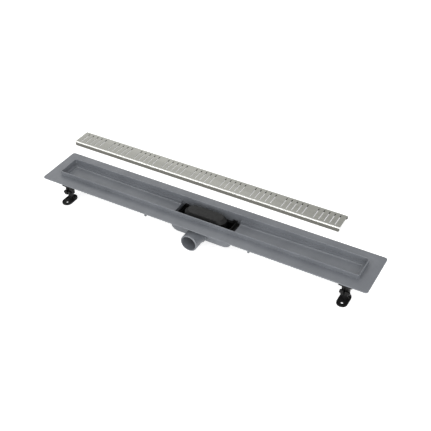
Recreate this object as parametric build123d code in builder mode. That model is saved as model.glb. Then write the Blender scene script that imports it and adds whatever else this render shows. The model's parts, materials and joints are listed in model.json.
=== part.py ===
from build123d import *
import os

# Linear shower drain with a grey moulded channel, a lift-out water trap, four
# clamped height-adjustable feet and a slotted stainless grate.
# Millimetres. +X runs along the channel, -Y is the outlet side, +Z is up.
# The origin is on the floor under the middle of the channel.

# Channel: tiling flange, raised rim and the ledge that carries the grate
rim_length = 931
rim_width = 70
rim_corner = 4
rim_rise = 12
flange_end_margin = 39.5
flange_side_margin = 40
flange_thick = 3
flange_top = 80
flange_corner = 8
wall = 3
ledge_drop = 3.5
ledge_width = 9
trough_corner = 6
trough_bottom_round = 4
end_floor_drop = 8
sump_edge_drop = 13.5

# Sump: the wide opening near the middle with its seat for the trap
sump_x = 4
sump_corner = 3
seat_opening = 172
seat_end = 9
seat_side = 3
seat_drop = 22

# Trap housing: the bowl welded under the seat, longer than the seat's opening
bowl_bulge = 6
bowl_depth = 59
bowl_end_round = 22
bowl_end_rise = 17
bowl_edge_round = 5

# Outlet spigot of the housing for a 50 mm waste pipe, with a collar at its root
spigot_radius = 25
spigot_wall = 3.5
spigot_reach = 88
mouth_chamfer = 1.5
bore_sink = 1
collar_radius = 28
collar_reach = 42

# Stainless grate: one folded sheet with groups of slots
grate_end_gap = 1
grate_side_gap = 1.75
grate_recess = 0.5
sheet = 1.5
fold_radius = 3
leg_corner = 5
slot_groups = 9
slots_in_group = 5
slot_pitch = 17
slot_margin = 9.25
slot_width = 3
grate_x = -143
grate_y = 240

# Water trap: cup with standpipe, bell over it, rubber seal under the cup's rim
seal_thick = 1.5
seal_lip = 4
seal_lip_thick = 1.2
seal_gap = 0.3
trap_wall = 2
cup_gap = 3.5
cup_rim_overlap = 3.5
cup_rim_side_overlap = 2
cup_rim_thick = 2.5
cup_under_gap = 6
weir_drop = 16
standpipe_end_gap = 16
standpipe_side_gap = 10
ear_length = 14
ear_outside = 1.5
ear_top_drop = 7
ear_thick = 3
bell_end_gap = 16.5
bell_side_gap = 4.5
bell_top_rise = 9
bell_shoulder = 9
bell_shoulder_side = 4.3
bell_edge = 1
bell_foot = 4.5
bell_foot_length = 24
bell_end_window = 20

# Feet: the bracket is screwed to bosses under the flange and clamps the post
leg_inset = 66
boss_radius = 4.5
boss_length = 22
boss_spacing = 29
boss_to_rim = 8
bracket_width = 39
bracket_inside = 16
bracket_outside = 8
bracket_thick = 5
bracket_corner = 4
post_width = 11
post_depth = 9
post_to_boss = 9.5
post_top_drop = 10
post_gap = 0.3
sleeve_wall = 4
sleeve_end_drop = 58
clamp_slit = 5
clamp_ear = 10
clamp_ear_height = 14
clamp_drop = 50
clamp_radius = 3
clamp_hole_gap = 0.2
clamp_head_thick = 4
clamp_head_flats = 9
clamp_nut_thick = 4.5
clamp_tail = 1
rack_pitch = 4
rack_depth = 0.8
rack_start = 24
foot_width = 30
foot_screw_to_boss = 15
foot_back_to_boss = 10
foot_thick = 2.5
foot_bead = 2
foot_bead_width = 2
foot_hole_radius = 3.5
gusset_thick = 2.5
gusset_height = 12
gusset_reach = 12
bracket_screw_radius = 1.5
bracket_screw_bite = 12
bracket_screw_head_radius = 3.5
bracket_screw_head = 2.5
bracket_screw_gap = 0.1

# Anchor lugs under the flange, with an eye for a tie wire
lug_to_seat = 76.5
lug_thick = 4
lug_to_rim = 6
lug_width = 19
lug_drop = 26
lug_corner = 3
lug_eye_drop = 19
lug_eye_radius = 2.2

# Sizes and heights that follow from the values above
flange_length = rim_length + 2 * flange_end_margin
flange_width = rim_width + 2 * flange_side_margin
sump_length = seat_opening + 2 * seat_end
bowl_length = seat_opening + 2 * bowl_bulge
bowl_width = rim_width - 2 * seat_side
leg_span = flange_length - 2 * leg_inset
lug_x = seat_opening / 2 + lug_to_seat
lug_in = rim_width / 2 + lug_to_rim
lug_out = lug_in + lug_width
boss_out = rim_width / 2 + boss_to_rim
bracket_in = boss_out - bracket_inside
bracket_out = boss_out + bracket_outside
post_in = boss_out - post_to_boss
foot_screw_out = boss_out + foot_screw_to_boss
foot_back = boss_out - foot_back_to_boss
flange_under = flange_top - flange_thick
rim_top = flange_top + rim_rise
ledge_z = flange_top - ledge_drop
end_floor_z = flange_top - end_floor_drop
sump_edge_z = flange_top - sump_edge_drop
seat_z = flange_top - seat_drop
bowl_floor_z = flange_top - bowl_depth
trough_length = rim_length - 2 * ledge_width
trough_width = rim_width - 2 * ledge_width
seat_under = seat_z - wall
bore_radius = spigot_radius - spigot_wall
spigot_z = bowl_floor_z + bore_radius - bore_sink
boss_end_z = flange_under - boss_length

os.makedirs("parts", exist_ok=True)


def save(piece, name):
    piece.label = name
    export_step(piece, f"parts/{name}.step")


# Side view of the trough: the floor falls from both ends to the sump
def trough_side(grow):
    half = trough_length / 2 + grow
    with BuildSketch(Plane.XZ, mode=Mode.PRIVATE) as side:
        with BuildLine():
            Polyline(
                (-half, ledge_z),
                (-half, end_floor_z - grow),
                (sump_x - sump_length / 2, sump_edge_z - grow),
                (sump_x + sump_length / 2, sump_edge_z - grow),
                (half, end_floor_z - grow),
                (half, ledge_z),
                close=True,
            )
        make_face()
    return side.sketch


# Side view of the bowl: upright end walls that sweep into a flat bottom
def bowl_side(grow):
    half = bowl_length / 2 + grow
    flat = bowl_length / 2 - bowl_end_round
    bend_z = bowl_floor_z + bowl_end_rise
    with BuildSketch(Plane.XZ, mode=Mode.PRIVATE) as side:
        with BuildLine():
            Polyline((half, bend_z), (half, seat_under), (-half, seat_under), (-half, bend_z))
            EllipticalCenterArc((-flat, bend_z), bowl_end_round + grow, bowl_end_rise + grow, 180)
            Line((-flat, bowl_floor_z - grow), (flat, bowl_floor_z - grow))
            EllipticalCenterArc((flat, bend_z), bowl_end_round + grow, bowl_end_rise + grow, 270)
        make_face()
    return side.sketch


# The trough as a solid, with rounded corners and a soft lower edge
def trough_solid(grow):
    with BuildPart() as solid:
        extrude(trough_side(grow), amount=trough_width / 2 + grow, both=True)
        fillet(solid.edges().filter_by(Axis.Z), trough_corner + grow)
        lower = solid.edges().filter_by(lambda edge: edge.center().Z < ledge_z - wall / 2 - grow / 2)
        fillet(lower.filter_by(lambda edge: edge.bounding_box().size.Z < sump_edge_drop), trough_bottom_round)
    return solid.part


# The bowl as a solid, with its long edges rounded over
def bowl_solid(grow):
    with BuildPart() as solid:
        extrude(bowl_side(grow), amount=bowl_width / 2 + grow, both=True)
        rim = solid.edges().group_by(Axis.Z)[-1]
        across = solid.edges().filter_by(Axis.Y)
        fillet(solid.edges() - rim - across, bowl_edge_round + grow)
    return Pos(sump_x, 0, 0) * solid.part


trough_hollow = trough_solid(0)
trough_shell = trough_solid(wall)
bowl_hollow = bowl_solid(0)
bowl_shell = bowl_solid(wall)

with BuildPart() as flange:
    with BuildSketch(Plane.XY.offset(flange_under)):
        RectangleRounded(flange_length, flange_width, flange_corner)
    extrude(amount=flange_thick)
    fillet(flange.edges().group_by(Axis.Z)[-1], flange_thick / 4)

with BuildPart() as sump_shell:
    with BuildSketch(Plane.XY.offset(seat_under)):
        with Locations((sump_x, 0)):
            RectangleRounded(sump_length + 2 * wall, rim_width + 2 * wall, sump_corner + wall)
    extrude(amount=flange_under - seat_under)

with BuildPart() as channel_body:
    add(flange.part)
    # Rim above the flange and the ledge's underside below it
    with BuildSketch(Plane.XY.offset(ledge_z - wall)):
        RectangleRounded(rim_length + 2 * wall, rim_width + 2 * wall, rim_corner + wall)
    extrude(amount=rim_top - ledge_z + wall)
    # Shells of the trough and the sump
    add(trough_shell)
    add(sump_shell.part)
    # Screw bosses of the four feet
    with BuildSketch(Plane.XY.offset(boss_end_z)):
        with GridLocations(leg_span, 2 * boss_out, 2, 2):
            with GridLocations(boss_spacing, 0, 2, 1):
                Circle(boss_radius)
    extrude(amount=boss_length)
    # Anchor lugs
    for lug_side in (-1, 1):
        with BuildSketch(Plane.YZ.offset(sump_x + lug_side * lug_x - lug_thick / 2)) as channel_lugs:
            with Locations(
                (-(lug_in + lug_out) / 2, flange_top - lug_drop / 2),
                ((lug_in + lug_out) / 2, flange_top - lug_drop / 2),
            ):
                Rectangle(lug_out - lug_in, lug_drop - flange_thick / 2)
            fillet(channel_lugs.vertices().group_by(Axis.Y)[0], lug_corner)
        extrude(amount=lug_thick)
    # Hollows
    with BuildSketch(Plane.XY.offset(ledge_z)):
        RectangleRounded(rim_length, rim_width, rim_corner)
    extrude(amount=rim_top - ledge_z, mode=Mode.SUBTRACT)
    add(trough_hollow, mode=Mode.SUBTRACT)
    with BuildSketch(Plane.XY.offset(seat_z)):
        with Locations((sump_x, 0)):
            RectangleRounded(sump_length, rim_width, sump_corner)
    extrude(amount=rim_top - seat_z, mode=Mode.SUBTRACT)
    with BuildSketch(Plane.XY.offset(seat_under)):
        with Locations((sump_x, 0)):
            RectangleRounded(seat_opening, bowl_width, sump_corner)
    extrude(amount=wall, mode=Mode.SUBTRACT)
    # Pilot holes of the bosses and eyes of the lugs
    with BuildSketch(Plane.XY.offset(boss_end_z)):
        with GridLocations(leg_span, 2 * boss_out, 2, 2):
            with GridLocations(boss_spacing, 0, 2, 1):
                Circle(bracket_screw_radius + bracket_screw_gap)
    extrude(amount=boss_length - flange_thick, mode=Mode.SUBTRACT)
    with BuildSketch(Plane.YZ):
        with GridLocations(lug_in + lug_out, 0, 2, 1):
            with Locations((0, flange_top - lug_eye_drop)):
                Circle(lug_eye_radius)
    extrude(amount=sump_x + lug_x + lug_thick, both=True, mode=Mode.SUBTRACT)
    fillet(channel_body.edges().group_by(Axis.Z)[-1], wall * 0.4)
save(channel_body.part, "channel_body")

# Trap housing: it meets the underside of the seat, and its spigot butts against the sump wall
with BuildPart() as trap_housing:
    add(bowl_shell)
    with BuildSketch(Plane.XZ.offset(spigot_reach)):
        with Locations((0, spigot_z)):
            Circle(spigot_radius)
    extrude(amount=bowl_width / 2 - spigot_reach)
    with BuildSketch(Plane.XZ.offset(collar_reach)):
        with Locations((0, spigot_z)):
            Circle(collar_radius)
    extrude(amount=bowl_width / 2 - collar_reach)
    mouth = trap_housing.edges().filter_by(GeomType.CIRCLE).group_by(Axis.Y)[0]
    chamfer(mouth, mouth_chamfer)
    with BuildSketch(Plane.XZ.offset(spigot_reach)):
        with Locations((0, spigot_z)):
            Circle(bore_radius)
    extrude(amount=bowl_width / 2 - bowl_edge_round - spigot_reach, mode=Mode.SUBTRACT)
    add(sump_shell.part, mode=Mode.SUBTRACT)
    add(bowl_hollow, mode=Mode.SUBTRACT)
save(trap_housing.part, "trap_housing")

# Grate: a folded channel section, laid on the floor behind the drain
grate_length = rim_length - 2 * grate_end_gap
grate_width = rim_width - 2 * grate_side_gap
grate_height = rim_top - ledge_z - grate_recess
group_pitch = grate_length / slot_groups
slot_length = grate_width - 2 * slot_margin
grate_plane = Plane((grate_x, grate_y, 0))
grate_end = Plane((grate_x - grate_length / 2, grate_y, 0), x_dir=(0, 1, 0), z_dir=(1, 0, 0))

with BuildPart() as grate:
    with BuildSketch(grate_end) as fold:
        Rectangle(grate_width, grate_height, align=(Align.CENTER, Align.MIN))
        fillet(fold.vertices().group_by(Axis.Y)[-1], fold_radius)
    extrude(amount=grate_length)
    with BuildSketch(grate_end) as fold_inside:
        Rectangle(grate_width - 2 * sheet, grate_height - sheet, align=(Align.CENTER, Align.MIN))
        fillet(fold_inside.vertices().group_by(Axis.Y)[-1], fold_radius - sheet)
    extrude(amount=grate_length, mode=Mode.SUBTRACT)
    fillet(grate.edges().filter_by(Axis.Y).group_by(Axis.Z)[0], leg_corner)
    with BuildSketch(grate_plane.offset(grate_height - 2 * sheet)):
        with GridLocations(group_pitch, 0, slot_groups, 1):
            with GridLocations(slot_pitch, 0, slots_in_group, 1):
                SlotOverall(slot_length, slot_width, rotation=90)
    extrude(amount=2 * sheet, mode=Mode.SUBTRACT)
save(grate.part, "grate")

# Water trap, drawn around the sump's middle
cup_rim_under = seat_z + seal_thick
cup_rim_top = cup_rim_under + cup_rim_thick
cup_length = seat_opening - 2 * cup_gap
cup_width = bowl_width - 2 * cup_gap
cup_bottom_z = bowl_floor_z + cup_under_gap
cup_floor_z = cup_bottom_z + trap_wall
cup_corner = bowl_edge_round + wall
cup_rim_length = seat_opening + 2 * cup_rim_overlap
cup_rim_width = bowl_width + 2 * cup_rim_side_overlap
weir_z = flange_top - weir_drop
ear_x = (cup_length - ear_length) / 2 + ear_outside
bell_length = cup_length - 2 * trap_wall - 2 * bell_end_gap
bell_width = cup_width - 2 * trap_wall - 2 * bell_side_gap
standpipe_length = bell_length - 2 * standpipe_end_gap
standpipe_width = bell_width - 2 * standpipe_side_gap

with BuildPart() as trap_cup:
    with BuildSketch(Plane.XY.offset(cup_bottom_z)):
        RectangleRounded(cup_length, cup_width, cup_corner)
    extrude(amount=cup_rim_top - cup_bottom_z)
    fillet(trap_cup.edges().group_by(Axis.Z)[0], trap_wall)
    with BuildSketch(Plane.XY.offset(cup_rim_under)):
        RectangleRounded(cup_rim_length, cup_rim_width, cup_corner)
    extrude(amount=cup_rim_thick)
    # Ears to lift the trap by, upright on the long walls near the ends
    with BuildSketch(Plane.XZ):
        with Locations((-ear_x, cup_rim_under), (ear_x, cup_rim_under)):
            Rectangle(ear_length, flange_top - ear_top_drop - cup_rim_under, align=(Align.CENTER, Align.MIN))
    extrude(amount=cup_width / 2 - trap_wall + ear_thick, both=True)
    fillet(trap_cup.edges().group_by(Axis.Z)[-1].filter_by(Axis.Y), ear_thick)
    with BuildSketch(Plane.XY.offset(cup_rim_top)):
        Rectangle(cup_length, cup_width - 2 * trap_wall)
    extrude(amount=flange_top - cup_rim_top, mode=Mode.SUBTRACT)
    with BuildSketch(Plane.XY.offset(cup_floor_z)):
        RectangleRounded(cup_length - 2 * trap_wall, cup_width - 2 * trap_wall, cup_corner - trap_wall)
    extrude(amount=cup_rim_top - cup_floor_z, mode=Mode.SUBTRACT)
    # Standpipe: its top edge is the weir that sets the water level
    with BuildSketch(Plane.XY.offset(cup_bottom_z)):
        SlotOverall(standpipe_length, standpipe_width)
    extrude(amount=weir_z - cup_bottom_z)
    with BuildSketch(Plane.XY.offset(cup_bottom_z)):
        SlotOverall(standpipe_length - 2 * trap_wall, standpipe_width - 2 * trap_wall)
    extrude(amount=weir_z - cup_bottom_z, mode=Mode.SUBTRACT)
save(Pos(sump_x, 0, 0) * trap_cup.part, "trap_cup")

# Rubber seal: flat ring on the seat with a lip that hangs into the bowl
seal_inner_length = cup_length + 2 * seal_gap
seal_inner_width = cup_width + 2 * seal_gap
with BuildPart() as trap_seal:
    with BuildSketch(Plane.XY.offset(seat_z)):
        RectangleRounded(cup_rim_length, cup_rim_width, cup_corner)
    extrude(amount=seal_thick)
    with BuildSketch(Plane.XY.offset(seat_z)):
        RectangleRounded(
            seal_inner_length + 2 * seal_lip_thick, seal_inner_width + 2 * seal_lip_thick, cup_corner
        )
    extrude(amount=-seal_lip)
    with BuildSketch(Plane.XY.offset(seat_z - seal_lip)):
        RectangleRounded(seal_inner_length, seal_inner_width, cup_corner)
    extrude(amount=seal_lip + seal_thick, mode=Mode.SUBTRACT)
save(Pos(sump_x, 0, 0) * trap_seal.part, "trap_seal")

# Bell: a deep cap with a sloping shoulder, standing on the cup's floor
bell_top_z = flange_top + bell_top_rise


# Skirt, shoulder and softened top edge of the bell, shrunk by the given amount on every side
def bell_solid(shrink):
    skirt_length = bell_length - 2 * shrink
    skirt_width = bell_width - 2 * shrink
    top_length = skirt_length - 2 * bell_shoulder
    top_width = skirt_width - 2 * bell_shoulder_side
    shoulder_z = bell_top_z - bell_shoulder - shrink
    edge_z = bell_top_z - bell_edge - shrink
    with BuildPart() as solid:
        with BuildSketch(Plane.XY.offset(cup_floor_z)):
            SlotOverall(skirt_length, skirt_width)
        extrude(amount=shoulder_z - cup_floor_z)
        with BuildSketch(Plane.XY.offset(shoulder_z)):
            SlotOverall(skirt_length, skirt_width)
        with BuildSketch(Plane.XY.offset(edge_z)):
            SlotOverall(top_length, top_width)
        loft()
        with BuildSketch(Plane.XY.offset(edge_z)):
            SlotOverall(top_length, top_width)
        with BuildSketch(Plane.XY.offset(bell_top_z - shrink)):
            SlotOverall(top_length - 2 * bell_edge, top_width - 2 * bell_edge)
        loft()
    return solid.part


with BuildPart() as trap_bell:
    add(bell_solid(0))
    add(bell_solid(trap_wall), mode=Mode.SUBTRACT)
    # Water windows under the skirt leave four feet
    with BuildSketch(Plane.XY.offset(cup_floor_z)):
        Rectangle(bell_length - 2 * bell_foot_length, bell_width)
        Rectangle(bell_length, bell_end_window)
    extrude(amount=bell_foot, mode=Mode.SUBTRACT)
save(Pos(sump_x, 0, 0) * trap_bell.part, "trap_bell")

# Height-adjustable feet
sleeve_end_z = flange_top - sleeve_end_drop
clamp_z = flange_top - clamp_drop
post_out = post_in + post_depth
sleeve_in = post_in - post_gap - sleeve_wall
sleeve_out = post_out + post_gap + sleeve_wall
sleeve_half = post_width / 2 + post_gap + sleeve_wall
ear_out = sleeve_out - sleeve_wall + clamp_ear
clamp_out = ear_out - clamp_ear / 2
post_top = flange_top - post_top_drop
foot_top = foot_thick + foot_bead


# Sleeve, clamp ears and screw plate, in a frame whose +Y points away from the channel
def make_bracket(level, across):
    with BuildPart() as bracket:
        with BuildSketch(level.offset(sleeve_end_z)):
            with Locations((0, sleeve_in)):
                Rectangle(2 * sleeve_half, sleeve_out - sleeve_in, align=(Align.CENTER, Align.MIN))
        extrude(amount=boss_end_z - sleeve_end_z)
        fillet(bracket.edges().filter_by(Axis.Z), sleeve_wall / 3)
        with BuildSketch(across.offset(-sleeve_half)):
            with Locations((sleeve_out - sleeve_wall, clamp_z)):
                Rectangle(clamp_ear, clamp_ear_height, align=(Align.MIN, Align.CENTER))
        extrude(amount=2 * sleeve_half)
        outwards = Axis(level.origin, level.y_dir)
        fillet(bracket.edges().filter_by(Axis.X).group_by(outwards)[-1], clamp_ear / 4)
        with BuildSketch(level.offset(boss_end_z - bracket_thick)):
            with Locations((0, (bracket_in + bracket_out) / 2)):
                RectangleRounded(bracket_width, bracket_out - bracket_in, bracket_corner)
        extrude(amount=bracket_thick)
        with BuildSketch(level.offset(sleeve_end_z)):
            with Locations((0, post_in - post_gap)):
                Rectangle(
                    post_width + 2 * post_gap, post_depth + 2 * post_gap, align=(Align.CENTER, Align.MIN)
                )
        extrude(amount=boss_end_z - sleeve_end_z, mode=Mode.SUBTRACT)
        with BuildSketch(level.offset(sleeve_end_z)):
            with Locations((0, post_out)):
                Rectangle(clamp_slit, ear_out - post_out, align=(Align.CENTER, Align.MIN))
        extrude(amount=boss_end_z - bracket_thick - sleeve_end_z, mode=Mode.SUBTRACT)
        with BuildSketch(across.offset(-sleeve_half)):
            with Locations((clamp_out, clamp_z)):
                Circle(clamp_radius + clamp_hole_gap)
        extrude(amount=2 * sleeve_half, mode=Mode.SUBTRACT)
        with BuildSketch(level.offset(boss_end_z - bracket_thick)):
            with Locations((-boss_spacing / 2, boss_out), (boss_spacing / 2, boss_out)):
                Circle(bracket_screw_radius + bracket_screw_gap)
        extrude(amount=bracket_thick, mode=Mode.SUBTRACT)
    return bracket.part


# Foot: beaded oblong plate with a screw hole, and the notched post that slides in the sleeve
def make_foot(level, across, along):
    with BuildPart() as foot:
        with BuildSketch(level):
            with Locations((0, (foot_screw_out + foot_back) / 2)):
                SlotOverall(foot_screw_out - foot_back + foot_width, foot_width, rotation=90)
        extrude(amount=foot_top)
        with BuildSketch(level.offset(foot_thick)):
            with Locations((0, (foot_screw_out + foot_back) / 2)):
                SlotOverall(
                    foot_screw_out - foot_back + foot_width - 2 * foot_bead_width,
                    foot_width - 2 * foot_bead_width,
                    rotation=90,
                )
        extrude(amount=foot_bead, mode=Mode.SUBTRACT)
        with BuildSketch(level):
            with Locations((0, post_in)):
                Rectangle(post_width, post_depth, align=(Align.CENTER, Align.MIN))
        extrude(amount=post_top)
        # Notches across the outer face of the post
        with BuildSketch(across.offset(-post_width / 2)):
            notch_count = int((post_top - rack_start) / rack_pitch)
            for notch in range(notch_count):
                notch_z = rack_start + notch * rack_pitch
                with BuildLine():
                    Polyline(
                        (post_out, notch_z),
                        (post_out - rack_depth, notch_z + rack_pitch / 2),
                        (post_out, notch_z + rack_pitch / 2),
                        close=True,
                    )
                make_face()
        extrude(amount=post_width, mode=Mode.SUBTRACT)
        # Gussets behind the post and at both sides of it
        with BuildSketch(across.offset(-gusset_thick / 2)):
            with BuildLine():
                Polyline(
                    (post_in, foot_thick),
                    (post_in - gusset_reach, foot_thick),
                    (post_in, foot_thick + gusset_height),
                    close=True,
                )
            make_face()
        extrude(amount=gusset_thick)
        side_reach = (foot_width - post_width) / 2 - foot_bead_width
        with BuildSketch(along.offset(gusset_thick / 2 - post_in - post_depth / 2)):
            with BuildLine():
                Polyline(
                    (-post_width / 2 - side_reach, foot_thick),
                    (post_width / 2 + side_reach, foot_thick),
                    (post_width / 2, foot_thick + gusset_height),
                    (-post_width / 2, foot_thick + gusset_height),
                    close=True,
                )
            make_face()
        extrude(amount=-gusset_thick)
        with BuildSketch(level):
            with Locations((0, foot_screw_out)):
                Circle(foot_hole_radius)
        extrude(amount=foot_thick, mode=Mode.SUBTRACT)
    return foot.part


# Clamp bolt: hexagon head against one ear, shank through both ears and the nut
def make_clamp_bolt(across):
    with BuildPart() as bolt:
        with BuildSketch(across.offset(sleeve_half)):
            with Locations((clamp_out, clamp_z)):
                RegularPolygon(clamp_head_flats / 2, 6, major_radius=False)
        extrude(amount=clamp_head_thick)
        chamfer(bolt.faces().sort_by(Axis(across.origin, across.z_dir))[-1].edges(), clamp_head_thick / 10)
        with BuildSketch(across.offset(sleeve_half)):
            with Locations((clamp_out, clamp_z)):
                Circle(clamp_radius)
        extrude(amount=-2 * sleeve_half - clamp_nut_thick - clamp_tail)
    return bolt.part


def make_clamp_nut(across):
    with BuildPart() as nut:
        with BuildSketch(across.offset(-sleeve_half)):
            with Locations((clamp_out, clamp_z)):
                RegularPolygon(clamp_head_flats / 2, 6, major_radius=False)
                Circle(clamp_radius, mode=Mode.SUBTRACT)
        extrude(amount=-clamp_nut_thick)
    return nut.part


# Two pan-head screws that hold a bracket to its bosses
def make_bracket_screws(level):
    with BuildPart() as screws:
        plate_under = boss_end_z - bracket_thick
        with BuildSketch(level.offset(plate_under)):
            with Locations((-boss_spacing / 2, boss_out), (boss_spacing / 2, boss_out)):
                Circle(bracket_screw_head_radius)
        extrude(amount=-bracket_screw_head)
        fillet(screws.edges().group_by(Axis.Z)[0], bracket_screw_head / 2)
        with BuildSketch(level.offset(plate_under)):
            with Locations((-boss_spacing / 2, boss_out), (boss_spacing / 2, boss_out)):
                Circle(bracket_screw_radius)
        extrude(amount=bracket_thick + bracket_screw_bite)
    return screws.part


for end, end_sign in (("left", -1), ("right", 1)):
    for row, out_sign in (("front", -1), ("rear", 1)):
        level = Plane((end_sign * leg_span / 2, 0, 0), x_dir=(out_sign, 0, 0), z_dir=(0, 0, 1))
        across = Plane(level.origin, x_dir=level.y_dir, z_dir=level.x_dir)
        along = Plane(level.origin, x_dir=level.x_dir, z_dir=-level.y_dir)
        save(make_bracket(level, across), f"{row}_{end}_bracket")
        save(make_foot(level, across, along), f"{row}_{end}_foot")
        save(make_clamp_bolt(across), f"{row}_{end}_clamp_bolt")
        save(make_clamp_nut(across), f"{row}_{end}_clamp_nut")
        save(make_bracket_screws(level), f"{row}_{end}_bracket_screws")
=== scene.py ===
import json
import math

import bmesh
import bpy
import numpy as np
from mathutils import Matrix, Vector


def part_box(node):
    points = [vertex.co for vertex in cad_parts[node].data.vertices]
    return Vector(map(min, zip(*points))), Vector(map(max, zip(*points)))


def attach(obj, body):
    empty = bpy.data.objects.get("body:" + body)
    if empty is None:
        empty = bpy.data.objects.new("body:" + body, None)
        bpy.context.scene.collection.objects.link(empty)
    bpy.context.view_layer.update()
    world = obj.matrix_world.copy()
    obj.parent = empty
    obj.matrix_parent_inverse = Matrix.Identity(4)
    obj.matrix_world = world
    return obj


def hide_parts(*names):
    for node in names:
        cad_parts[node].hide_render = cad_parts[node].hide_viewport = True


# Linear shower drain: finish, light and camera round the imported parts. Metres, +Z up.

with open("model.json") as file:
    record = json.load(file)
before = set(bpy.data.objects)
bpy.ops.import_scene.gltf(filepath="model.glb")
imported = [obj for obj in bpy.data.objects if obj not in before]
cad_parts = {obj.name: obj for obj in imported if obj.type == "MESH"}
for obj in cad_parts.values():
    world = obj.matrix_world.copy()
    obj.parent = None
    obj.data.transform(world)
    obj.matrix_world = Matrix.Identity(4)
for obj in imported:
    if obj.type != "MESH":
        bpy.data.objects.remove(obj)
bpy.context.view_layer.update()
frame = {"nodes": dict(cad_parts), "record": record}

mm = 0.001
nodeBody = {node: body for body, nodes in frame["record"]["behaviour"]["bodies"].items() for node in nodes}
nodeSlot = {entry["node"]: entry["material_slot"] for entry in frame["record"]["subparts"]}


def srgb(code):
    # hex colour as seen on a screen, turned to the linear values that shaders use
    parts = [int(code[i:i + 2], 16) / 255 for i in (1, 3, 5)]
    return [p / 12.92 if p <= 0.04045 else ((p + 0.055) / 1.055) ** 2.4 for p in parts] + [1.0]


def addNode(tree, kind, inputs, **settings):
    # inputs go by a socket's name or number: a value, a socket to link, or a node to link by its output
    node = tree.nodes.new(kind)
    for name, value in settings.items():
        setattr(node, name, value)
    for name, value in inputs.items():
        if isinstance(value, bpy.types.Node):
            value = value.outputs[0]
        if isinstance(value, bpy.types.NodeSocket):
            tree.links.new(value, node.inputs[name])
        else:
            node.inputs[name].default_value = value
    return node


def newMaterial(name):
    material = bpy.data.materials.new(name)
    material.use_nodes = True
    material.node_tree.nodes.clear()
    return material


# Noise keeps mostly between these two values, which are spread over each finish's range of roughness. A
# finish's own ends are the noise values at which its dark and light shades are reached
noiseReach = (0.3, 0.7)


def addSurface(tree, finish, patch, gloss, grain, areas=()):
    # two near shades follow patch and others cover areas, roughness follows gloss, and relief follows grain
    ramp = addNode(tree, "ShaderNodeValToRGB", {"Fac": patch})
    for element, position, shade in zip(ramp.color_ramp.elements, finish["ends"], ("dark", "light")):
        element.position = position
        element.color = srgb(finish[shade])
    colour = ramp.outputs[0]
    for area, shade in areas:
        mixed = {0: area, 6: colour, 7: srgb(finish[shade])}
        colour = addNode(tree, "ShaderNodeMix", mixed, data_type="RGBA").outputs[2]
    roughness = addNode(tree, "ShaderNodeMapRange", {
        "Value": gloss, "From Min": noiseReach[0], "From Max": noiseReach[1],
        "To Min": finish["roughness"][0], "To Max": finish["roughness"][1],
    })
    relief = addNode(tree, "ShaderNodeBump", {
        "Height": grain, "Strength": finish["bump"], "Distance": finish["relief"],
    })
    shader = addNode(tree, "ShaderNodeBsdfPrincipled", {
        "Base Color": colour, "Roughness": roughness, "Normal": relief, **finish["shader"],
    })
    addNode(tree, "ShaderNodeOutputMaterial", {"Surface": shader})


# Injection-moulded ABS, mid grey: a soft even sheen with a fine spark-eroded grain. The real grain, about
# 0.2 mm, is too fine to show and is drawn at 1.1 mm
greyAbs = {
    "dark": "#65686D", "light": "#6F7277", "ends": (0.35, 0.65), "patch": 90 * mm,
    "roughness": (0.38, 0.5), "gloss": 14 * mm, "shader": {"IOR": 1.53},
    "grain": 1.1 * mm, "detail": 2.0, "bump": 0.12, "relief": 0.15 * mm,
}

# Polypropylene, black: moulded trap parts with a waxy skin that scatters most of its shine, and the faint
# ripple of the flow, about 2.5 mm from crest to crest
blackPp = {
    "dark": "#0A0A0A", "light": "#111111", "ends": (0.35, 0.65), "patch": 30 * mm,
    "roughness": (0.42, 0.55), "gloss": 9 * mm, "shader": {"IOR": 1.49, "Specular IOR Level": 0.22},
    "grain": 2.5 * mm, "detail": 3.0, "bump": 0.08, "relief": 0.2 * mm,
}

# Glass-filled polyamide, black: strong moulded feet, duller than the trap, because fibres break the skin.
# They are about 0.3 mm long, and their grain is drawn at 1.2 mm to show
blackNylon = {
    "dark": "#060606", "light": "#0C0C0D", "ends": (0.35, 0.65), "patch": 12 * mm,
    "roughness": (0.55, 0.7), "gloss": 5 * mm, "shader": {"IOR": 1.53, "Specular IOR Level": 0.25},
    "grain": 1.2 * mm, "detail": 2.0, "bump": 0.2, "relief": 0.2 * mm,
}

# EPDM rubber, matt black, with a faint bloom in patches. Its mould texture is drawn coarse, at 1 mm
sealRubber = {
    "dark": "#121212", "light": "#1B1B1B", "ends": (0.35, 0.65), "patch": 6 * mm,
    "roughness": (0.6, 0.75), "gloss": 3 * mm, "shader": {"IOR": 1.52},
    "grain": 1 * mm, "detail": 3.0, "bump": 0.15, "relief": 0.1 * mm,
}

# Blackened steel of the clamp bolts: dark oxide that lets a little metal through. Its crystals are far too
# fine to show and are drawn at 0.5 mm
blackSteel = {
    "dark": "#08080A", "light": "#121214", "ends": (0.35, 0.65), "patch": 2 * mm,
    "roughness": (0.35, 0.5), "gloss": 1 * mm, "shader": {"Metallic": 0.6},
    "grain": 0.5 * mm, "detail": 3.0, "bump": 0.1, "relief": 0.05 * mm,
}

# Zinc-plated steel of the bracket screws: bright with a bluish passivation, its spangle drawn at 0.4 mm
zincSteel = {
    "dark": "#A9ADB2", "light": "#C8CBCF", "ends": (0.35, 0.65), "patch": 2 * mm,
    "roughness": (0.25, 0.4), "gloss": 1 * mm, "shader": {"Metallic": 1.0},
    "grain": 0.4 * mm, "detail": 3.0, "bump": 0.1, "relief": 0.04 * mm,
}


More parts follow.
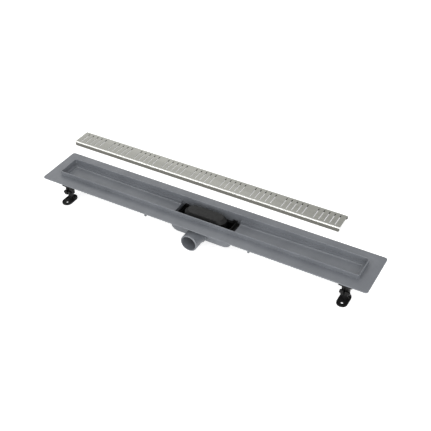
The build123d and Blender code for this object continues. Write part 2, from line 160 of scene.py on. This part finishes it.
def makeGrainedSkin(name, finish):
    # soft patches of shade, a gloss that varies and a fine grain, each from noise of its own size
    material = newMaterial(name)
    tree = material.node_tree
    place = addNode(tree, "ShaderNodeTexCoord", {}).outputs["Object"]
    noises = [
        addNode(tree, "ShaderNodeTexNoise", {"Vector": place, "Scale": 1 / finish[size], "Detail": detail})
        for size, detail in (("patch", 3.0), ("gloss", 3.0), ("grain", finish["detail"]))
    ]
    addSurface(tree, finish, *noises)
    return material


# Stainless steel sheet: the top plate is brushed along its length in long fine scratches, and a near white
# painted highlight runs along both folds. The legs, hidden once laid in, are darker, partly from the dull
# unbrushed skin of the sheet as rolled and partly from painted shade, and their inner faces and the plate's
# underside carry a near black painted shade. Real scratches are under 0.1 mm wide and are drawn at 0.9 mm
# to show
brushedSteel = {
    "dark": "#80807B", "light": "#9D9D97", "ends": (0.3, 0.7), "line": 0.9 * mm, "stroke": 60 * mm,
    "roughness": (0.32, 0.48), "shader": {"Metallic": 1.0, "Anisotropic": 0.5},
    "detail": 4.0, "bump": 0.15, "relief": 0.05 * mm,
    # a near white painted highlight on the folds, legs darker from their dull skin and from painted shade,
    # and a near black painted shade on the inner faces
    "paintedFoldHighlight": "#EEEEEA", "millSkinAndPaintedShade": "#6C6B66", "inside": "#2E2E2C",
    "sheet": 1.5 * mm, "fold": 2.9 * mm, "margin": 0.05 * mm,
}


def makeBrushedSteel():
    size = brushedSteel
    material = newMaterial("brushedStainlessSteel")
    tree = material.node_tree
    place = addNode(tree, "ShaderNodeTexCoord", {}).outputs["Object"]
    scratch = (1 / size["stroke"], 1 / size["line"], 1 / size["line"])
    strokes = addNode(tree, "ShaderNodeMapping", {"Vector": place, "Scale": scratch})
    lines = addNode(tree, "ShaderNodeTexNoise", {"Vector": strokes, "Scale": 1.0, "Detail": size["detail"]})
    low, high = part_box("grate")
    half = (high[1] - low[1]) / 2
    apart = addNode(tree, "ShaderNodeSeparateXYZ", {0: place})
    height = apart.outputs["Z"]
    beside = addNode(tree, "ShaderNodeMath", {0: apart.outputs["Y"], 1: (low[1] + high[1]) / 2},
                     operation="SUBTRACT")
    across = addNode(tree, "ShaderNodeMath", {0: beside}, operation="ABSOLUTE")
    # each area is where its tests hold, by height and by distance from the middle line: the painted
    # highlight along the folds, the legs darkened by their dull skin and by painted shade, and painted
    # shade on the inner faces
    top, fold, inner = high[2], size["fold"], size["sheet"] - size["margin"]
    tests = {
        "paintedFoldHighlight": [("GREATER_THAN", across, half - fold), ("GREATER_THAN", height, top - fold)],
        "millSkinAndPaintedShade": [("LESS_THAN", height, top - fold)],
        "inside": [("LESS_THAN", height, top - inner), ("LESS_THAN", across, half - inner)],
    }
    areas = []
    for shade, limits in tests.items():
        area = 1.0
        for operation, value, limit in limits:
            holds = addNode(tree, "ShaderNodeMath", {0: value, 1: limit}, operation=operation)
            area = addNode(tree, "ShaderNodeMath", {0: area, 1: holds}, operation="MULTIPLY")
        areas.append((area, shade))
    addSurface(tree, size, lines, lines, lines, areas)
    return material


slotMaterials = {
    "grey_abs": makeGrainedSkin("greyMouldedAbs", greyAbs),
    "stainless_steel": makeBrushedSteel(),
    "trap_plastic": makeGrainedSkin("blackMouldedPolypropylene", blackPp),
    "leg_plastic": makeGrainedSkin("blackGlassFilledNylon", blackNylon),
    "seal_rubber": makeGrainedSkin("epdmRubber", sealRubber),
    "black_steel": makeGrainedSkin("blackOxideSteel", blackSteel),
    "zinc_steel": makeGrainedSkin("zincPlatedSteel", zincSteel),
}
print("materials made:", len(slotMaterials))

for nodeName, nodePiece in frame["nodes"].items():
    nodePiece.data.materials.clear()
    nodePiece.data.materials.append(slotMaterials[nodeSlot[nodeName]])
print("packed nodes dressed")

# Fasteners: steps round each one and along each turn of its thread, hexagon faces chamfered at 30 degrees
# from a circle a little inside the flats, and edges sharper than 30 degrees kept crisp
fastener = {
    "round": 72, "turn": 8, "circle": 0.95, "chamfer": math.radians(30),
    "crisp": math.radians(30), "merge": 0.001 * mm,
}
roundAngle = np.linspace(0, 2 * math.pi, fastener["round"], endpoint=False)
onAxis = np.zeros(fastener["round"])


def addPiece(leg, kind, points, node, closed=False):
    # points[i, j] is place j round ring i; rings are joined in order, and to the first one if closed
    name = leg.replace("_l", "L").replace("_r", "R") + kind
    rings, count = points.shape[:2]
    ring, place = np.meshgrid(np.arange(rings if closed else rings - 1), np.arange(count), indexing="ij")
    here, there = ring * count, (ring + 1) % rings * count
    beside = (place + 1) % count
    faces = np.stack([here + place, here + beside, there + beside, there + place], -1)
    mesh = bpy.data.meshes.new(name)
    mesh.from_pydata(points.reshape(-1, 3).tolist(), [], faces.reshape(-1, 4).tolist())
    shape = bmesh.new()
    shape.from_mesh(mesh)
    bmesh.ops.remove_doubles(shape, verts=shape.verts, dist=fastener["merge"])
    bmesh.ops.recalc_face_normals(shape, faces=shape.faces)
    shape.to_mesh(mesh)
    shape.free()
    mesh.shade_smooth()
    mesh.set_sharp_from_angle(angle=fastener["crisp"])
    piece = bpy.data.objects.new(name, mesh)
    bpy.context.scene.collection.objects.link(piece)
    slotName = nodeSlot[leg + node]
    mesh.materials.append(slotMaterials[slotName])
    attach(piece, nodeBody[leg + node])
    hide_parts(leg + node)


def nodeBox(name):
    # lowest corner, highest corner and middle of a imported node
    low, high = (np.array(corner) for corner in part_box(name))
    return low, high, (low + high) / 2


def hexEnd(flats):
    # sides of a hexagon with a corner at angle 0, r = flats / 2 / cos(angle from the middle of a side), the
    # circle that its chamfer starts from, and how far the chamfer falls from there to the sides
    sides = flats / 2 / np.cos(roundAngle % (math.pi / 3) - math.pi / 6)
    circle = onAxis + flats / 2 * fastener["circle"]
    return sides, circle, (sides - circle) * math.tan(fastener["chamfer"])


def threadRings(size, length):
    # a ridge that climbs one pitch a turn: r = radius - depth * |2 * phase - 1|
    reach = np.arange(0, length, size["pitch"] / fastener["turn"])[:, None] + onAxis
    phase = (reach / size["pitch"] - roundAngle / (2 * math.pi)) % 1
    return reach, size["radius"] - size["depth"] * np.abs(2 * phase - 1)


def revolve(along, radius):
    # rings of (distance along the axis, radius) as points (along, r cos angle, r sin angle)
    return np.stack([along, radius * np.cos(roundAngle), radius * np.sin(roundAngle)], -1)


# Clamp bolt: M6 hexagon head screw with a chamfered head and a full thread
clampBolt = {
    "flats": 9 * mm, "head": 4 * mm, "radius": 3 * mm, "pitch": 1 * mm, "depth": 0.55 * mm, "tip": 0.7 * mm,
}


def makeClampBolt(leg):
    low, high, middle = nodeBox(leg + "_clamp_bolt")
    head = clampBolt["head"]
    length = high[0] - low[0] - head
    sides, circle, fall = hexEnd(clampBolt["flats"])
    reach, thread = threadRings(clampBolt, length)
    # the thread's tip is turned down at 45 degrees
    thread = np.minimum(thread, clampBolt["radius"] - np.maximum(0, clampBolt["tip"] - length + reach))
    along = np.vstack([onAxis, onAxis, fall, onAxis + head, head + reach, onAxis + head + length])
    radius = np.vstack([onAxis, circle, sides, sides, thread, onAxis])
    # the head is at the low end on the front legs and at the high end on the rear ones
    start, way = (low[0], 1) if leg.startswith("front") else (high[0], -1)
    points = revolve(along, radius) * (way, 1, 1) + (start, middle[1], middle[2])
    addPiece(leg, "ClampBolt", points, "_clamp_bolt")


# Clamp nut: M6 hexagon nut, chamfered on both faces and at the mouths of its thread
clampNut = {"flats": 9 * mm, "bore": 2.75 * mm, "mouth": 3.3 * mm}


def makeClampNut(leg):
    low, high, middle = nodeBox(leg + "_clamp_nut")
    sides, circle, fall = hexEnd(clampNut["flats"])
    bore, mouth = onAxis + clampNut["bore"], onAxis + clampNut["mouth"]
    # one half's rings from the bore out to the sides, and the other half's back again
    near = np.stack([mouth - bore, onAxis, onAxis, fall])
    half = np.stack([bore, mouth, circle, sides])
    along = np.concatenate([near, high[0] - low[0] - near[::-1]])
    points = revolve(along, np.concatenate([half, half[::-1]])) + (low[0], middle[1], middle[2])
    addPiece(leg, "ClampNut", points, "_clamp_nut", closed=True)


# Bracket screws: pan heads with a cross recess, and a coarse thread with a blunt point in the bosses
bracketScrew = {
    "spacing": 29 * mm, "head": 3.5 * mm, "high": 2.5 * mm, "rings": 40,
    "radius": 1.5 * mm, "pitch": 1.3 * mm, "depth": 0.4 * mm, "point": 0.2 * mm, "taper": 0.7,
    "arm": 0.55 * mm, "reach": 1.9 * mm, "recess": 1.6 * mm, "soft": 0.15 * mm,
}


def makeBracketScrews(leg):
    low, high, middle = nodeBox(leg + "_bracket_screws")
    size = bracketScrew
    radius = np.linspace(0, size["head"], size["rings"])[:, None] + onAxis
    # dome of the head: h = high * (1 - (r / R)^4)^(1/2), less the recess within the arms of a cross
    dome = size["high"] * np.sqrt(np.clip(1 - (radius / size["head"]) ** 4, 0, 1))
    east, north = np.abs(radius * np.cos(roundAngle)), np.abs(radius * np.sin(roundAngle))

    def arm(narrow, wide):
        inside = np.clip((size["arm"] - narrow) / size["soft"] + 0.5, 0, 1)
        return inside * np.clip((size["reach"] - wide) / size["soft"] + 0.5, 0, 1)

    dome = dome - size["recess"] * np.maximum(arm(east, north), arm(north, east))
    length = high[2] - low[2] - size["high"]
    reach, thread = threadRings(size, length)
    thread = np.minimum(thread, size["point"] + np.maximum(0, length - reach) * size["taper"])
    points = revolve(np.vstack([-dome, reach, onAxis + length]), np.vstack([radius, thread, onAxis]))
    # the axis is upright here, and the head hangs under the plate
    points = points[..., [1, 2, 0]] + (middle[0], middle[1], low[2] + size["high"])
    for kind, side in (("BracketScrewLeft", -1), ("BracketScrewRight", 1)):
        addPiece(leg, kind, points + (side * size["spacing"] / 2, 0, 0), "_bracket_screws")


for legName in ("front_left", "rear_left", "front_right", "rear_right"):
    makeClampBolt(legName)
    makeClampNut(legName)
    makeBracketScrews(legName)
print("fasteners threaded")


def addSeen(tree):
    # 1 for rays that show the background, straight, in gloss or through glass, and 0 for rays that light
    rays = addNode(tree, "ShaderNodeLightPath", {})
    seen = rays.outputs["Is Camera Ray"]
    for name in ("Is Glossy Ray", "Is Transmission Ray"):
        seen = addNode(tree, "ShaderNodeMath", {0: seen, 1: rays.outputs[name]}, operation="MAXIMUM")
    return seen


# Floor: a large sheet of pale paper under everything, which shows whiter than it lights
floorSheet = {"half": 6.0, "colour": "#F4F4F4", "roughness": 0.9, "glow": 0.62}


def makeFloor():
    half = floorSheet["half"]
    mesh = bpy.data.meshes.new("floor")
    corners = [(-half, -half, 0), (half, -half, 0), (half, half, 0), (-half, half, 0)]
    mesh.from_pydata(corners, [], [(0, 1, 2, 3)])
    floor = bpy.data.objects.new("floor", mesh)
    bpy.context.scene.collection.objects.link(floor)
    material = newMaterial("palePaper")
    tree = material.node_tree
    paper = addNode(tree, "ShaderNodeBsdfPrincipled", {
        "Base Color": srgb(floorSheet["colour"]), "Roughness": floorSheet["roughness"],
    })
    glow = addNode(tree, "ShaderNodeMath", {0: addSeen(tree), 1: floorSheet["glow"]}, operation="MULTIPLY")
    lit = addNode(tree, "ShaderNodeEmission", {"Color": (1, 1, 1, 1), "Strength": glow})
    both = addNode(tree, "ShaderNodeAddShader", {0: paper, 1: lit})
    addNode(tree, "ShaderNodeOutputMaterial", {"Surface": both})
    mesh.materials.append(material)


makeFloor()

# Studio light: a soft even sky that shows white, and four large panels. Sizes in metres, power in watts
studioSky = {"light": 0.6, "shown": 1.0}
studioPanels = {
    "keyPanel": {"place": (-1.15, -1.85, 2.06), "aim": (0, 0, 0), "size": (1.1, 1.1), "power": 20.0},
    "fillPanel": {"place": (1.6, -1.4, 1.4), "aim": (0, 0, 0), "size": (2.4, 2.4), "power": 30.0},
    "frontPanel": {"place": (0.7, -2.6, 0.8), "aim": (0, 0, 0.05), "size": (2.8, 1.1), "power": 24.0},
    "backPanel": {"place": (-1.7, 2.3, 1.7), "aim": (-0.2, 0.2, 0), "size": (2.0, 1.2), "power": 8.0},
}


def makeSky():
    world = bpy.data.worlds.new("studio")
    bpy.context.scene.world = world
    world.use_nodes = True
    tree = world.node_tree
    tree.nodes.clear()
    light, shown = [
        addNode(tree, "ShaderNodeBackground", {"Color": (1, 1, 1, 1), "Strength": studioSky[name]})
        for name in ("light", "shown")
    ]
    mixed = addNode(tree, "ShaderNodeMixShader", {0: addSeen(tree), 1: light, 2: shown})
    addNode(tree, "ShaderNodeOutputWorld", {"Surface": mixed})


def makePanel(name, panel):
    light = bpy.data.lights.new(name, "AREA")
    light.shape = "RECTANGLE"
    light.size, light.size_y = panel["size"]
    light.energy = panel["power"]
    lamp = bpy.data.objects.new(name, light)
    place, aim = Vector(panel["place"]), Vector(panel["aim"])
    lamp.location = place
    lamp.rotation_mode = "QUATERNION"
    lamp.rotation_quaternion = (aim - place).to_track_quat("-Z", "Y")
    bpy.context.scene.collection.objects.link(lamp)


makeSky()
for panelName in studioPanels:
    makePanel(panelName, studioPanels[panelName])

# Camera: solved from the photograph's flange, rim and grate. Focal length and width in its pixels
photoView = {
    "turn": math.radians(29.29), "rise": math.radians(37.977), "aim": (0.0275, 0.0132, 0.080),
    "distance": 2.2259, "focal": 806.41, "width": 431, "sensor": 36.0,
}


def makeCamera():
    data = bpy.data.cameras.new("camera")
    data.sensor_width = photoView["sensor"]
    data.lens = photoView["focal"] / photoView["width"] * photoView["sensor"]
    camera = bpy.data.objects.new("camera", data)
    turn, rise = photoView["turn"], photoView["rise"]
    back = Vector((math.sin(turn) * math.cos(rise), -math.cos(turn) * math.cos(rise), math.sin(rise)))
    camera.location = Vector(photoView["aim"]) + back * photoView["distance"]
    camera.rotation_mode = "QUATERNION"
    camera.rotation_quaternion = (-back).to_track_quat("-Z", "Y")
    bpy.context.scene.collection.objects.link(camera)
    bpy.context.scene.camera = camera


makeCamera()
bpy.context.scene.view_settings.view_transform = "Standard"
print("floor, light and camera placed")
